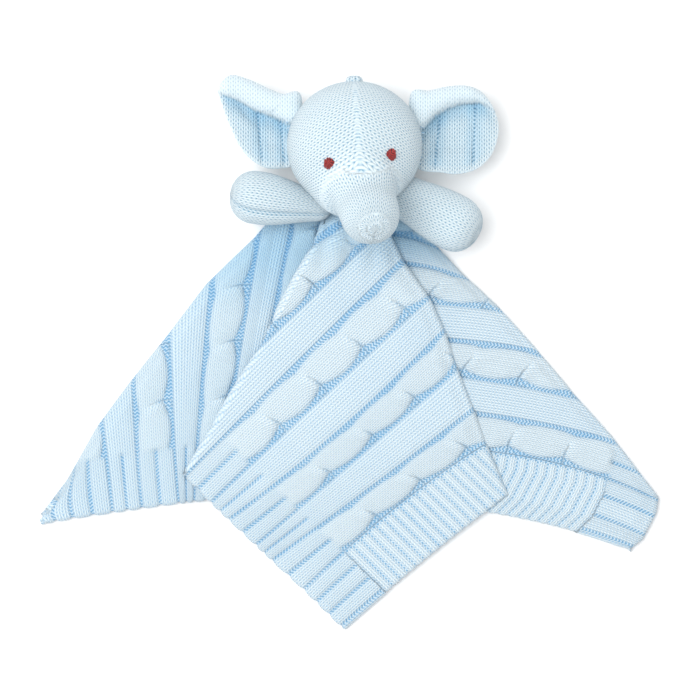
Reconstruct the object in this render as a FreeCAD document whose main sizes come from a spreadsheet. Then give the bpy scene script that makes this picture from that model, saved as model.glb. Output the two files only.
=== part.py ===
import FreeCAD, Part
import math
import os
import Sketcher

# A knitted elephant comforter: a square cable-knit blanket, folded into a fan and lying flat, with a
# stuffed elephant's head, two cupped ears, a short trunk and two stuffed arms sewn on at its centre.
#
# Frame: X across the toy, Y from the blanket's front corner towards the crown of the head, and Z up.
# The toy lies on its back, face up. The origin is on the surface that it lies on, below the middle.
# Lengths are millimetres and angles are degrees.

SIZES = [
    # Knitting
    ("layer", 4.0, "one layer of the cable-knit blanket"),
    ("wall", 2.0, "knitted wall of the head, trunk, ears and arms"),
    ("band_width", 30.0, "ribbed band along an edge of the blanket"),
    ("thread", 0.9, "radius of a stitch of sewing yarn"),
    # Blanket outline, as it lies folded
    ("left_shoulder_x", -50.0, "upper end of the left outer fold"),
    ("left_shoulder_y", 68.0, ""),
    ("left_tip_x", -181.0, "left corner of the square"),
    ("left_tip_y", -101.0, ""),
    ("left_notch_x", -89.0, "where the left hem runs under the front flap"),
    ("left_notch_y", -87.0, ""),
    ("back_tip_x", -5.0, "back corner, folded down under the front flap"),
    ("back_tip_y", -148.0, ""),
    ("right_notch_x", 85.0, "where the right hem runs under the front flap"),
    ("right_notch_y", -92.0, ""),
    ("right_tip_x", 166.0, "right corner of the square"),
    ("right_tip_y", -115.0, ""),
    ("right_fold_x", 181.0, "lower end of the right outer fold"),
    ("right_fold_y", -85.0, ""),
    ("right_shoulder_x", 45.0, "upper end of the right outer fold"),
    ("right_shoulder_y", 64.0, ""),
    ("nape_x", 6.0, "middle of the blanket's upper edge, under the neck"),
    ("nape_y", 74.0, ""),
    # Front flap, which lies over the rest and slopes down to its corner
    ("front_tip_x", -4.0, "front corner of the square"),
    ("front_tip_y", -162.8, ""),
    ("front_left_x", -94.0, "lower end of the left fold"),
    ("front_left_y", -75.0, ""),
    ("front_right_x", 93.0, "lower end of the right fold"),
    ("front_right_y", -86.0, ""),
    ("throat_left_x", -12.0, "upper end of the left fold"),
    ("throat_left_y", 62.0, ""),
    ("throat_right_x", 36.0, "upper end of the right fold"),
    ("throat_right_y", 60.0, ""),
    ("flap_thickness", 5.0, "the flap and the pleats below it, pressed together"),
    ("front_flap_rise", 7.0, "height that the flap gains from its corner to the neck"),
    ("front_flap_foot", 4.0, "height of the flap's underside at its corner"),
    # Neck
    ("neck_x", 6.0, "neck axis"),
    ("neck_z", 13.0, ""),
    ("neck_start_y", 77.0, "sewn end of the neck"),
    ("neck_length", 8.0, ""),
    ("neck_radius", 5.0, ""),
    # Head, on its back
    ("head_x", 3.0, "centre of the head"),
    ("head_y", 120.0, ""),
    ("head_z", 33.5, ""),
    ("head_radius", 39.0, "half the width of the head, and half its height from chin to crown"),
    ("head_half_depth", 33.0, "half the distance from face to nape"),
    ("head_side_radius", 27.0, "roundness of the head's sides"),
    ("crown_knot_radius", 4.0, "gathered knot on the crown"),
    # Eyes, embroidered knots
    ("eye_radius", 3.6, ""),
    ("eye_sink", 1.4, "how far an eye's centre lies below the face"),
    ("left_eye_x", -11.0, ""),
    ("left_eye_y", 104.0, ""),
    ("right_eye_x", 25.0, ""),
    ("right_eye_y", 110.0, ""),
    # Trunk: a tapered tube with round ends that swings on the ball at its root
    ("trunk_x", 7.0, "centre of the trunk's root"),
    ("trunk_y", 92.0, ""),
    ("trunk_z", 44.0, ""),
    ("trunk_root_radius", 21.5, ""),
    ("trunk_tip_radius", 18.0, ""),
    ("trunk_length", 32.0, "from the root's centre to the tip's centre"),
    ("trunk_lean", 37.0, "tilt of the trunk from upright towards the blanket"),
    ("trunk_sideways", 16.0, "turn of the trunk to the right of straight ahead"),
    ("trunk_droop", 6.0, "how far the trunk can sink from rest"),
    ("trunk_lift", 22.0, "how far the trunk can rise from rest"),
    ("trunk_gap", 0.8, "room between the trunk's root and the head"),
    ("trunk_room_mouth", 28.0, "radius of the head's hollow for the trunk, round the trunk's tip"),
    # Ears: round cups with a straight root beside the head
    ("ear_radius", 26.0, "outline of an ear"),
    ("ear_root", 12.0, "distance from the ear's centre to its straight root"),
    ("ear_cup_radius", 50.0, "curvature of the hollow"),
    ("ear_padding", 4.0, "wadding between the two faces"),
    ("ear_seam", 1.5, "the wadding stops this far inside the outline"),
    ("left_ear_x", -51.5, ""),
    ("left_ear_y", 134.0, ""),
    ("left_ear_z", 25.0, ""),
    ("left_ear_turn", -6.0, "turn of the left ear in the plane it lies in"),
    ("right_ear_x", 60.5, ""),
    ("right_ear_y", 128.0, ""),
    ("right_ear_z", 25.0, ""),
    ("right_ear_turn", 4.0, "turn of the right ear in the plane it lies in"),
    # Arms: pear-shaped bags, narrow where they are sewn to the blanket
    ("arm_root_radius", 8.0, ""),
    ("arm_tip_radius", 16.0, ""),
    ("arm_length", 29.0, "from the root's centre to the tip's centre"),
    ("arm_root_z", 17.5, "height of an arm's root"),
    ("arm_pitch", 18.0, "slope of an arm, up from its root"),
    ("left_arm_x", -24.0, "root of the left arm"),
    ("left_arm_y", 82.5, ""),
    ("left_arm_turn", 170.0, "direction of the left arm, from X"),
    ("right_arm_x", 36.0, "root of the right arm"),
    ("right_arm_y", 86.0, ""),
    ("right_arm_turn", -28.0, "direction of the right arm, from X"),
]

VECTOR = FreeCAD.Vector
X_AXIS = VECTOR(1, 0, 0)
Y_AXIS = VECTOR(0, 1, 0)
Z_AXIS = VECTOR(0, 0, 1)
ROOM = 200.0            # half the side of the boxes that cut a shape in two
STITCH_PITCH = 5.0      # distance between the stitches of a sewn seam
STITCH_LENGTH = 3.2
EAR_SEAM_GAP = 4.0      # from an ear's root to the row of stitches on the head

doc = FreeCAD.newDocument("comforter")


# ---------------------------------------------------------------- sheet and small helpers

def make_sheet():
    """The spreadsheet of driving dimensions: name, value and note in each row."""
    table = doc.addObject("Spreadsheet::Sheet", "sizes")
    for row, (name, number, note) in enumerate(SIZES, start=1):
        table.set(f"A{row}", name)
        table.set(f"B{row}", str(number))
        table.set(f"C{row}", note)
        table.setAlias(f"B{row}", name)
    doc.recompute()
    return table


def size(name):
    """One driving dimension, read from the sheet."""
    return float(sheet.get(name))


def spot(name):
    """The point on the surface whose two coordinates the sheet gives as NAME_x and NAME_y."""
    return VECTOR(size(name + "_x"), size(name + "_y"), 0)


def bind(feature, **formulas):
    """Bind a feature's sizes to formulas in the sheet's names."""
    for prop, formula in formulas.items():
        feature.setExpression(prop, formula)
    return feature


def sheet_formula(text):
    """A formula in plain names, with each name that the sheet holds looked up there."""
    words = text.split(" ")
    known = {name for name, number, note in SIZES}
    return " ".join("sizes." + word if word in known else word for word in words)


def turned(axis, degrees):
    return FreeCAD.Rotation(axis, degrees)


def origin_plane(body, role):
    return [plane for plane in body.Origin.OriginFeatures if plane.Role == role][0]


def new_sketch(body, name, role):
    """A sketch on one of the body's own origin planes."""
    sketch = body.newObject("Sketcher::SketchObject", name)
    sketch.AttachmentSupport = [(origin_plane(body, role), "")]
    sketch.MapMode = "FlatFace"
    return sketch


def boolean(kind, name, base, tool):
    """A Part cut or common of two objects."""
    feature = doc.addObject("Part::" + kind, name)
    feature.Base = base
    feature.Tool = tool
    return feature


def joined(name, shapes):
    """Several objects fused into one."""
    feature = doc.addObject("Part::MultiFuse", name)
    feature.Shapes = shapes
    return feature


def piece(feature, label, place=None):
    """Register a finished sub-part under its node name, at its place."""
    feature.Label = label
    if place is not None:
        feature.Placement = place
    pieces.append(feature)
    return feature


# ---------------------------------------------------------------- shapes that repeat

def plate(name, corners, thickness):
    """A flat plate whose outline runs through named spots, each bound to the sheet."""
    body = doc.addObject("PartDesign::Body", name)
    sketch = new_sketch(body, name + "_outline", "XY_Plane")
    points = [spot(corner) for corner in corners]
    count = len(points)
    for index in range(count):
        sketch.addGeometry(Part.LineSegment(points[index], points[(index + 1) % count]))
    for index in range(count):
        sketch.addConstraint(Sketcher.Constraint("Coincident", index, 2, (index + 1) % count, 1))
    for index, corner in enumerate(corners):
        point = points[index]
        for kind, letter, number in (("DistanceX", "x", point.x), ("DistanceY", "y", point.y)):
            label = f"{corner}_{letter}"
            row = sketch.addConstraint(Sketcher.Constraint(kind, -1, 1, index, 1, number))
            sketch.renameConstraint(row, label)
            sketch.setExpression("Constraints." + label, sheet_formula(label))
    pad = body.newObject("PartDesign::Pad", name + "_pad")
    pad.Profile = sketch
    bind(pad, Length=sheet_formula(thickness))
    return body


def half_box(name, side, level=0.0):
    """A large box that keeps what is above (+1) or below (-1) a level, to cut a shape in two."""
    box = doc.addObject("Part::Box", name)
    box.Length = 2 * ROOM
    box.Width = 2 * ROOM
    box.Height = ROOM
    bottom = level if side > 0 else level - ROOM
    box.Placement.Base = VECTOR(-ROOM, -ROOM, bottom)
    return box


def ball(name, radius):
    solid = doc.addObject("Part::Sphere", name)
    return bind(solid, Radius=sheet_formula(radius))


def rounded_tube(name, root_radius, tip_radius, length):
    """A solid tube along +X with round ends, tapering from one radius to the other.

    The profile is two arcs joined by their common tangent, revolved about X.
    """
    body = doc.addObject("PartDesign::Body", name)
    sketch = new_sketch(body, name + "_profile", "XY_Plane")
    root, tip, reach = (evaluate(text) for text in (root_radius, tip_radius, length))
    lean = math.asin((root - tip) / reach)
    touch = VECTOR(math.sin(lean), math.cos(lean), 0)
    quarter = math.pi / 2
    root_arc = Part.ArcOfCircle(Part.Circle(VECTOR(0, 0, 0), Z_AXIS, root), quarter - lean, math.pi)
    tip_arc = Part.ArcOfCircle(Part.Circle(VECTOR(reach, 0, 0), Z_AXIS, tip), 0, quarter - lean)
    side = Part.LineSegment(touch * root, VECTOR(reach, 0, 0) + touch * tip)
    axis = Part.LineSegment(VECTOR(-root, 0, 0), VECTOR(reach + tip, 0, 0))
    for curve in (root_arc, side, tip_arc, axis):
        sketch.addGeometry(curve)
    for constraint in (
            Sketcher.Constraint("Coincident", 0, 3, -1, 1),
            Sketcher.Constraint("Tangent", 0, 1, 1, 1),
            Sketcher.Constraint("Tangent", 1, 2, 2, 2),
            Sketcher.Constraint("Coincident", 2, 1, 3, 2),
            Sketcher.Constraint("Coincident", 0, 2, 3, 1),
            Sketcher.Constraint("PointOnObject", 2, 3, -1),
            Sketcher.Constraint("PointOnObject", 3, 1, -1),
            Sketcher.Constraint("PointOnObject", 3, 2, -1)):
        sketch.addConstraint(constraint)
    for label, constraint, formula in (
            ("root_radius", Sketcher.Constraint("Radius", 0, root), root_radius),
            ("tip_radius", Sketcher.Constraint("Radius", 2, tip), tip_radius),
            ("reach", Sketcher.Constraint("DistanceX", -1, 1, 2, 3, reach), length)):
        row = sketch.addConstraint(constraint)
        sketch.renameConstraint(row, label)
        sketch.setExpression("Constraints." + label, sheet_formula(formula))
    turn = body.newObject("PartDesign::Revolution", name + "_turned")
    turn.Profile = sketch
    turn.ReferenceAxis = (sketch, ["H_Axis"])
    turn.Angle = 360.0
    return body


def evaluate(text):
    """The value of a sum or difference of named sizes and plain numbers."""
    total = 0.0
    sign = 1.0
    for word in text.split(" "):
        if word in ("+", "-"):
            sign = 1.0 if word == "+" else -1.0
        else:
            number = float(word) if word[0].isdigit() else size(word)
            total += sign * number
    return total


def stitch_row(name, places, axis):
    """A row of short stitches, one at each place, lying along an axis: separate solids in one node."""
    stitches = []
    for index, place in enumerate(places):
        loop = doc.addObject("Part::Cylinder", f"{name}_{index + 1}")
        bind(loop, Radius="sizes.thread")
        loop.Height = STITCH_LENGTH
        start = place - axis * (STITCH_LENGTH / 2)
        loop.Placement = FreeCAD.Placement(start, FreeCAD.Rotation(Z_AXIS, axis))
        stitches.append(loop)
    group = doc.addObject("Part::Compound", name)
    group.Links = stitches
    return group


# ---------------------------------------------------------------- blanket

def along(start, end, distance):
    """The point at a distance from one point towards another."""
    return start + (end - start).normalize() * distance


def band_stretch(name, start, end, bottom, height):
    """A straight stretch of band along a hem, its width to the left of the way from start to end."""
    way = (end - start).normalize()
    side = VECTOR(-way.y, way.x, 0) * size("band_width")
    outline = Part.makePolygon([start, end, end + side, start + side, start])
    solid = Part.Face(outline).extrude(VECTOR(0, 0, height))
    solid.translate(VECTOR(0, 0, bottom))
    feature = doc.addObject("Part::Feature", name)
    feature.Shape = solid
    return feature


def flap_place():
    """Where the front flap lies: tilted up from its corner towards the neck."""
    reach = size("throat_left_y") - size("front_tip_y")
    slope = math.degrees(math.atan2(size("front_flap_rise"), reach))
    corner = spot("front_tip")
    turn = turned(X_AXIS, slope)
    lift = VECTOR(0, 0, size("front_flap_foot"))
    return FreeCAD.Placement(corner + lift - turn.multVec(corner), turn)


def make_blanket():
    """The folded square in two levels, with a ribbed band knitted on along two of its edges."""
    under = plate("folded_layers", ["left_shoulder", "left_tip", "left_notch", "back_tip", "right_notch",
                                    "right_tip", "right_fold", "right_shoulder", "nape"],
                  "layer + layer")
    flap = plate("front_flap", ["throat_left", "front_left", "front_tip", "front_right", "throat_right"],
                 "flap_thickness")
    flap.Placement = flap_place()
    layer = size("layer")
    width = size("band_width")
    whole = joined("blanket_whole", [under, flap])

    # The right band runs along the front flap's right hem, then on along the right flap's hem.
    front_stretch = band_stretch("right_band_on_flap", along(spot("front_tip"), spot("front_right"), width),
                                 spot("front_right"), 0, size("flap_thickness"))
    front_stretch.Placement = flap_place()
    side_stretch = band_stretch("right_band_on_side", spot("right_notch"),
                                along(spot("right_tip"), spot("right_notch"), width), layer, layer)
    right_stretches = joined("right_band_stretches", [front_stretch, side_stretch])
    right_band = boolean("Common", "right_band", right_stretches, whole)

    # The left band is folded under: it lies below the left flap's hem, then below the front flap.
    hem_stretch = band_stretch("left_band_on_side", along(spot("left_tip"), spot("left_notch"), width),
                               spot("left_notch"), 0, layer)
    back_stretch = band_stretch("left_band_on_back", spot("left_notch"),
                                along(spot("back_tip"), spot("left_notch"), width), 0, layer)
    left_stretches = joined("left_band_stretches", [hem_stretch, back_stretch])
    left_band = boolean("Common", "left_band", left_stretches, under)

    without_right = boolean("Cut", "blanket_without_right_band", whole, right_band)
    panel = boolean("Cut", "blanket_without_bands", without_right, left_band)
    piece(panel, "blanket_panel")
    piece(right_band, "right_side_band")
    piece(left_band, "left_side_band")


# ---------------------------------------------------------------- neck

def make_neck():
    """The gathered neck and the yarn that is wound round it."""
    start = VECTOR(size("neck_x"), size("neck_start_y"), size("neck_z"))
    forward = turned(X_AXIS, -90)
    stub = doc.addObject("Part::Cylinder", "neck_stub")
    bind(stub, Radius="sizes.neck_radius", Height="sizes.neck_length")
    piece(stub, "neck_gather", FreeCAD.Placement(start, forward))
    thread = doc.addObject("Part::Torus", "neck_winding")
    bind(thread, Radius1="sizes.neck_radius + sizes.thread", Radius2="sizes.thread")
    middle = start + VECTOR(0, size("neck_length") / 2, 0)
    piece(thread, "neck_thread", FreeCAD.Placement(middle, forward))


# ---------------------------------------------------------------- head

def head_centre():
    return VECTOR(size("head_x"), size("head_y"), size("head_z"))


def trunk_rotation(droop=0.0):
    """The turn that takes +X along the trunk and +Z to its bridge, sunk by an angle from rest."""
    bridge_up = turned(X_AXIS, -90)
    upright = turned(Y_AXIS, -90)
    leaning = turned(X_AXIS, size("trunk_lean") + droop)
    swung = turned(Z_AXIS, size("trunk_sideways"))
    return swung.multiply(leaning).multiply(upright).multiply(bridge_up)


def trunk_room():
    """The hollow that the trunk swings in: it widens from the ball at the root, seen from the head."""
    room = rounded_tube("trunk_room", "trunk_root_radius + trunk_gap", "trunk_room_mouth", "trunk_length")
    centre = VECTOR(size("trunk_x"), size("trunk_y"), size("trunk_z"))
    middle_of_swing = (size("trunk_droop") - size("trunk_lift")) / 2
    room.Placement = FreeCAD.Placement(centre - head_centre(), trunk_rotation(middle_of_swing))
    return room


def cap_depth(radius, side_radius, half_depth):
    """How far below the head's centre the flatter face arc is centred, so that it meets the side arc."""
    side_centre = radius - side_radius
    inset = half_depth - side_radius
    return (side_centre * side_centre - inset * inset) / (2 * inset)


def rounded_head(name, shrink):
    """A flattened ball round the origin: a side arc between two flatter arcs, revolved about Z."""
    body = doc.addObject("PartDesign::Body", name)
    sketch = new_sketch(body, name + "_profile", "XZ_Plane")
    radius = size("head_radius") - shrink
    side_radius = size("head_side_radius") - shrink
    half_depth = size("head_half_depth") - shrink
    side_centre = VECTOR(radius - side_radius, 0, 0)
    depth = cap_depth(radius, side_radius, half_depth)
    lean = math.atan2(depth, side_centre.x)
    face_radius = half_depth + depth
    face = Part.ArcOfCircle(Part.Circle(VECTOR(0, -depth, 0), Z_AXIS, face_radius), lean, math.pi / 2)
    nape = Part.ArcOfCircle(Part.Circle(VECTOR(0, depth, 0), Z_AXIS, face_radius), -math.pi / 2, -lean)
    side = Part.ArcOfCircle(Part.Circle(side_centre, Z_AXIS, side_radius), -lean, lean)
    axis = Part.LineSegment(VECTOR(0, half_depth, 0), VECTOR(0, -half_depth, 0))
    for curve in (face, side, nape, axis):
        sketch.addGeometry(curve)
    for constraint in (
            Sketcher.Constraint("Tangent", 0, 1, 1, 2),
            Sketcher.Constraint("Tangent", 1, 1, 2, 2),
            Sketcher.Constraint("Coincident", 0, 2, 3, 1),
            Sketcher.Constraint("Coincident", 2, 1, 3, 2),
            Sketcher.Constraint("PointOnObject", 0, 3, -2),
            Sketcher.Constraint("PointOnObject", 0, 2, -2),
            Sketcher.Constraint("PointOnObject", 2, 3, -2),
            Sketcher.Constraint("PointOnObject", 2, 1, -2),
            Sketcher.Constraint("PointOnObject", 1, 3, -1)):
        sketch.addConstraint(constraint)
    for label, constraint, formula in (
            ("side_radius", Sketcher.Constraint("Radius", 1, side_radius),
             f"sizes.head_side_radius - {shrink}"),
            ("side_centre", Sketcher.Constraint("DistanceX", -1, 1, 1, 3, side_centre.x),
             "sizes.head_radius - sizes.head_side_radius"),
            ("face_height", Sketcher.Constraint("DistanceY", -1, 1, 3, 1, half_depth),
             f"sizes.head_half_depth - {shrink}"),
            ("nape_depth", Sketcher.Constraint("DistanceY", 3, 2, -1, 1, half_depth),
             f"sizes.head_half_depth - {shrink}")):
        row = sketch.addConstraint(constraint)
        sketch.renameConstraint(row, label)
        sketch.setExpression("Constraints." + label, formula)
    turn = body.newObject("PartDesign::Revolution", name + "_turned")
    turn.Profile = sketch
    turn.ReferenceAxis = (sketch, ["V_Axis"])
    turn.Angle = 360.0
    return body


def face_height(x, y):
    """Height of the face above the head's centre at a point beside that centre."""
    depth = cap_depth(size("head_radius"), size("head_side_radius"), size("head_half_depth"))
    face_radius = size("head_half_depth") + depth
    return math.sqrt(face_radius * face_radius - x * x - y * y) - depth


def make_eye(side):
    """An eye: a round knot of embroidery, half sunk in the face. Returns the seat that it needs."""
    where = spot(side + "_eye") - VECTOR(size("head_x"), size("head_y"), 0)
    where.z = face_height(where.x, where.y) - size("eye_sink")
    seat = ball(side + "_eye_seat", "eye_radius")
    seat.Placement.Base = where
    knot = ball(side + "_eye_knot", "eye_radius")
    piece(knot, side + "_eye", FreeCAD.Placement(where + head_centre(), FreeCAD.Rotation()))
    return seat


def make_crown_knot():
    """The knot where the knitting is drawn together on the crown. Returns the seat that it needs."""
    where = VECTOR(0, size("head_radius"), size("crown_knot_radius"))
    seat = ball("crown_knot_seat", "crown_knot_radius")
    seat.Placement.Base = where
    knot = ball("crown_knot_ball", "crown_knot_radius")
    piece(knot, "crown_knot", FreeCAD.Placement(where + head_centre(), FreeCAD.Rotation()))
    return seat


def make_head():
    """Face and back panels, sewn round the sides of the head, with the stuffing inside."""
    wall = size("wall")
    place = FreeCAD.Placement(head_centre(), FreeCAD.Rotation())
    room = trunk_room()
    shell = boolean("Cut", "head_shell", rounded_head("head_outside", 0.0),
                    rounded_head("head_inside", wall))
    open_shell = boolean("Cut", "head_shell_open", shell, room)
    open_filling = boolean("Cut", "head_filling_open", rounded_head("head_filling", wall), room)
    seats = joined("knot_seats", [make_eye("left"), make_eye("right"), make_crown_knot()])
    face_half = boolean("Common", "head_face_half", open_shell, half_box("face_side", +1))
    piece(boolean("Cut", "head_face_with_seats", face_half, seats), "head_face", place)
    piece(boolean("Common", "head_back_half", open_shell, half_box("back_side", -1)), "head_back", place)
    piece(boolean("Cut", "head_filling_below_knots", open_filling, seats), "head_stuffing", place)


# ---------------------------------------------------------------- trunk and arms

def stuffed_bag(name, root_radius, tip_radius, length, place, upper, lower):
    """Two half skins sewn along their sides, with stuffing inside: a trunk or an arm."""
    outer = rounded_tube(name + "_outside", root_radius, tip_radius, length)
    inner = rounded_tube(name + "_inside", root_radius + " - wall", tip_radius + " - wall", length)
    filling = rounded_tube(name + "_filling", root_radius + " - wall", tip_radius + " - wall", length)
    skin = boolean("Cut", name + "_skin", outer, inner)
    top = boolean("Common", name + "_top", skin, half_box(name + "_top_side", +1))
    bottom = boolean("Common", name + "_bottom", skin, half_box(name + "_bottom_side", -1))
    piece(top, f"{name}_{upper}", place)
    piece(bottom, f"{name}_{lower}", place)
    piece(filling, name + "_stuffing", place)


def make_trunk():
    centre = VECTOR(size("trunk_x"), size("trunk_y"), size("trunk_z"))
    stuffed_bag("trunk", "trunk_root_radius", "trunk_tip_radius", "trunk_length",
                FreeCAD.Placement(centre, trunk_rotation()), "bridge", "underside")


def make_arm(side):
    """A pear-shaped arm and the stitches that hold its root to the blanket."""
    root = VECTOR(size(side + "_arm_x"), size(side + "_arm_y"), size("arm_root_z"))
    swing = turned(Z_AXIS, size(side + "_arm_turn")).multiply(turned(Y_AXIS, -size("arm_pitch")))
    stuffed_bag(side + "_arm", "arm_root_radius", "arm_tip_radius", "arm_length",
                FreeCAD.Placement(root, swing), "upper_panel", "lower_panel")


# ---------------------------------------------------------------- ears

def ear_outline(name, radius, root):
    """A prism with the ear's outline: a circle with a straight root on its +X side."""
    disc = doc.addObject("Part::Cylinder", name + "_disc")
    bind(disc, Radius=sheet_formula(radius))
    disc.Height = ROOM
    disc.Placement.Base = VECTOR(0, 0, -ROOM / 2)
    beyond = doc.addObject("Part::Box", name + "_beyond_root")
    beyond.Length = ROOM
    beyond.Width = 2 * ROOM
    beyond.Height = 2 * ROOM
    beyond.Placement.Base = VECTOR(evaluate(root), -ROOM, -ROOM)
    return boolean("Cut", name, disc, beyond)


def ear_layer(name, outline, inside, outside):
    """The part of an outline that lies between two balls above it, so that it is cupped."""
    hollow = VECTOR(0, 0, size("ear_cup_radius"))
    small = ball(name + "_hollow_side", inside)
    large = ball(name + "_outer_side", outside)
    small.Placement.Base = hollow
    large.Placement.Base = hollow
    cup = boolean("Cut", name + "_cup", large, small)
    lower_half = boolean("Common", name + "_lower", cup, half_box(name + "_below", -1, hollow.z))
    return boolean("Common", name, lower_half, outline)


def make_ear(side):
    """A cupped ear: knitted front and back faces with wadding between them."""
    full = ear_outline(side + "_ear_outline", "ear_radius", "ear_root")
    inset = ear_outline(side + "_ear_inset", "ear_radius - ear_seam", "ear_root - ear_seam")
    front = ear_layer(side + "_ear_front_layer", full, "ear_cup_radius - wall", "ear_cup_radius")
    padding = ear_layer(side + "_ear_padding_layer", inset, "ear_cup_radius",
                        "ear_cup_radius + ear_padding")
    back = ear_layer(side + "_ear_back_layer", full, "ear_cup_radius + ear_padding",
                     "ear_cup_radius + ear_padding + wall")
    facing = 0 if side == "left" else 180
    centre = VECTOR(size(side + "_ear_x"), size(side + "_ear_y"), size(side + "_ear_z"))
    place = FreeCAD.Placement(centre, turned(Z_AXIS, facing + size(side + "_ear_turn")))
    piece(front, side + "_ear_front", place)
    piece(padding, side + "_ear_wadding", place)
    piece(back, side + "_ear_back", place)


# ---------------------------------------------------------------- stitches

def stitch_places(middle, direction, count):
    """Evenly spaced places for a row of stitches about a middle point."""
    return [middle + direction * ((index - (count - 1) / 2) * STITCH_PITCH) for index in range(count)]


def make_stitches():
    """The rows of stitches that hold the ears to the head, and the arms and neck to the blanket."""
    for side, inward in (("left", 1), ("right", -1)):
        turn = turned(Z_AXIS, size(side + "_ear_turn"))
        root = spot(side + "_ear") + turn.multVec(X_AXIS) * (inward * (size("ear_root") + EAR_SEAM_GAP))
        root.z = size(side + "_ear_z") + size("ear_padding")
        row = stitch_row(side + "_ear_seam", stitch_places(root, turn.multVec(Y_AXIS), 7), Y_AXIS)
        piece(row, side + "_ear_stitches")
    height = 2 * size("layer") + size("thread")
    for side in ("left", "right"):
        below_root = spot(side + "_arm") + VECTOR(0, -size("arm_root_radius") * 2, height)
        row = stitch_row(side + "_arm_seam", stitch_places(below_root, X_AXIS, 3), Y_AXIS)
        piece(row, side + "_arm_stitches")
    nape = VECTOR(size("neck_x"), size("nape_y") - STITCH_LENGTH, height)
    piece(stitch_row("neck_seam", stitch_places(nape, X_AXIS, 4), Y_AXIS), "neck_stitches")


# ---------------------------------------------------------------- build and write

def check(document, nodes):
    """Stop before anything is written if an object has failed or a node's shape is unsound."""
    for item in document.Objects:
        if "Invalid" in item.State or "Error" in item.State:
            raise RuntimeError(f"{item.Name} failed: {item.State}")
    for node in nodes:
        shape = node.Shape
        if shape.isNull() or not shape.isValid() or shape.Volume <= 0:
            raise RuntimeError(f"{node.Label} has an unsound shape")


def write(nodes):
    os.makedirs("parts", exist_ok=True)
    for node in nodes:
        node.Shape.exportStep(os.path.join("parts", node.Label + ".step"))


sheet = make_sheet()
pieces = []
make_blanket()
make_neck()
make_head()
make_trunk()
for ear_side in ("left", "right"):
    make_ear(ear_side)
for arm_side in ("left", "right"):
    make_arm(arm_side)
make_stitches()
doc.recompute()
check(doc, pieces)
write(pieces)
for node in pieces:
    box = node.Shape.BoundBox
    print(f"{node.Label:22s} {len(node.Shape.Solids)} solids {node.Shape.Volume:10.1f} mm3  "
          f"x {box.XMin:7.1f} {box.XMax:7.1f}  y {box.YMin:7.1f} {box.YMax:7.1f}  "
          f"z {box.ZMin:6.1f} {box.ZMax:6.1f}")
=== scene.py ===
import math

import bpy
import numpy as np
from mathutils import Matrix, Vector


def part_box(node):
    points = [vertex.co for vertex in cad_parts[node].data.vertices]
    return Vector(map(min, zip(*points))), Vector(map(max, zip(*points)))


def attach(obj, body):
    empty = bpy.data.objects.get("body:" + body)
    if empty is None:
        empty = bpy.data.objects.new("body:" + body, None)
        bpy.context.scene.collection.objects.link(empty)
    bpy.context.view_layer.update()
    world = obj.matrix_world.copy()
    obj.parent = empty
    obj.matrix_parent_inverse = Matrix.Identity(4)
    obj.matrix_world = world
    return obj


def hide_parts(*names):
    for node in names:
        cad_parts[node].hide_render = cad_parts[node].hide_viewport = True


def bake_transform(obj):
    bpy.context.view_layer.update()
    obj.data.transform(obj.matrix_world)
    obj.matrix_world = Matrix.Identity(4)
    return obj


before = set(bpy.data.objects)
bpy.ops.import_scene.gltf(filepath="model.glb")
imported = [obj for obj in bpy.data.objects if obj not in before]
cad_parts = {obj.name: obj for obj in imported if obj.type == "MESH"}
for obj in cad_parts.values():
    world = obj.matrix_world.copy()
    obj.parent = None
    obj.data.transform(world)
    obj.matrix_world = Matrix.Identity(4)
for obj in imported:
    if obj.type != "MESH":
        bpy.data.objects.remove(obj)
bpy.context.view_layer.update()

# Lengths of the toy are in millimetres until a mesh is made; those of the stage are in metres.
MM = 0.001

# ---- the knitted cloth

BORDER = 30.0  # width of the ribbed border and of the side bands
CABLE = 22.5  # a cable with its two gutters
PLAIN = 16.4  # the plain rib between two cables
PERIOD = CABLE + PLAIN
GUTTER = 1.25  # width of the purl gutter on each side of a rib
FIRST_CROSSING = 24.0  # distance of the first cable crossing from the hem
CROSSING_STEP = 33.4
LOBE_ROUND = 2.2  # how far the middle of a lobe's end stands out beyond its sides
LOBE_TILT = -3.5  # how far the end's high side is ahead of its middle
LOW_NOTCH = 0.38  # how deep a crossing cuts into the cable's low side, in half widths
HIGH_NOTCH = 0.16
END_LEAN = 3.6  # how far the stitches shift sideways at the end of a lobe
CABLE_HEIGHT = 3.0
PLAIN_HEIGHT = 2.3
PLAIN_SHADE = 0.15  # how much deeper the flat knitting is in tone than the cables
RIB_HEIGHT = 1.7
RIDGE_PITCH = 6.0  # ridges of the side band
RIDGE_HEIGHT = 1.1
CORNER_RIB = 10.0
WALE = 2.6  # width of one stitch of the blanket
ROW = 2.05  # height of one stitch of the blanket
HEM_RADIUS = 1.9
HEM_KEEP = 0.7  # share of the relief that is left where a hem turns under
FOLD_RADIUS = 3.4
CELL = 0.8  # mesh spacing of the blanket
EDGE_SPAN = 3  # cells over which the direction of a sheet's edge is measured
CLOTH_FLOOR = 0.4  # lowest that any cloth comes above the surface it lies on
DEEP_PROFILE = 0.34  # height of a rib's flank, as a share, below which it counts as gutter
FLANK_PROFILE = 0.88  # height of a rib's flank above which it is as light as its top


def smooth(t):
    """A smooth step from 0 to 1."""
    t = np.clip(t, 0.0, 1.0)
    return t * t * (3.0 - 2.0 * t)


def hump(d, half_width, power):
    """Cross-section of a rounded rib: 1 in the middle, 0 from its edges on."""
    inside = np.clip(1.0 - np.abs(d / half_width) ** power, 0.0, 1.0)
    return np.sqrt(inside)


def groove(distance, width):
    """1 along a line, fading to 0 beside it."""
    return np.exp(-(distance / width) ** 2)


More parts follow.
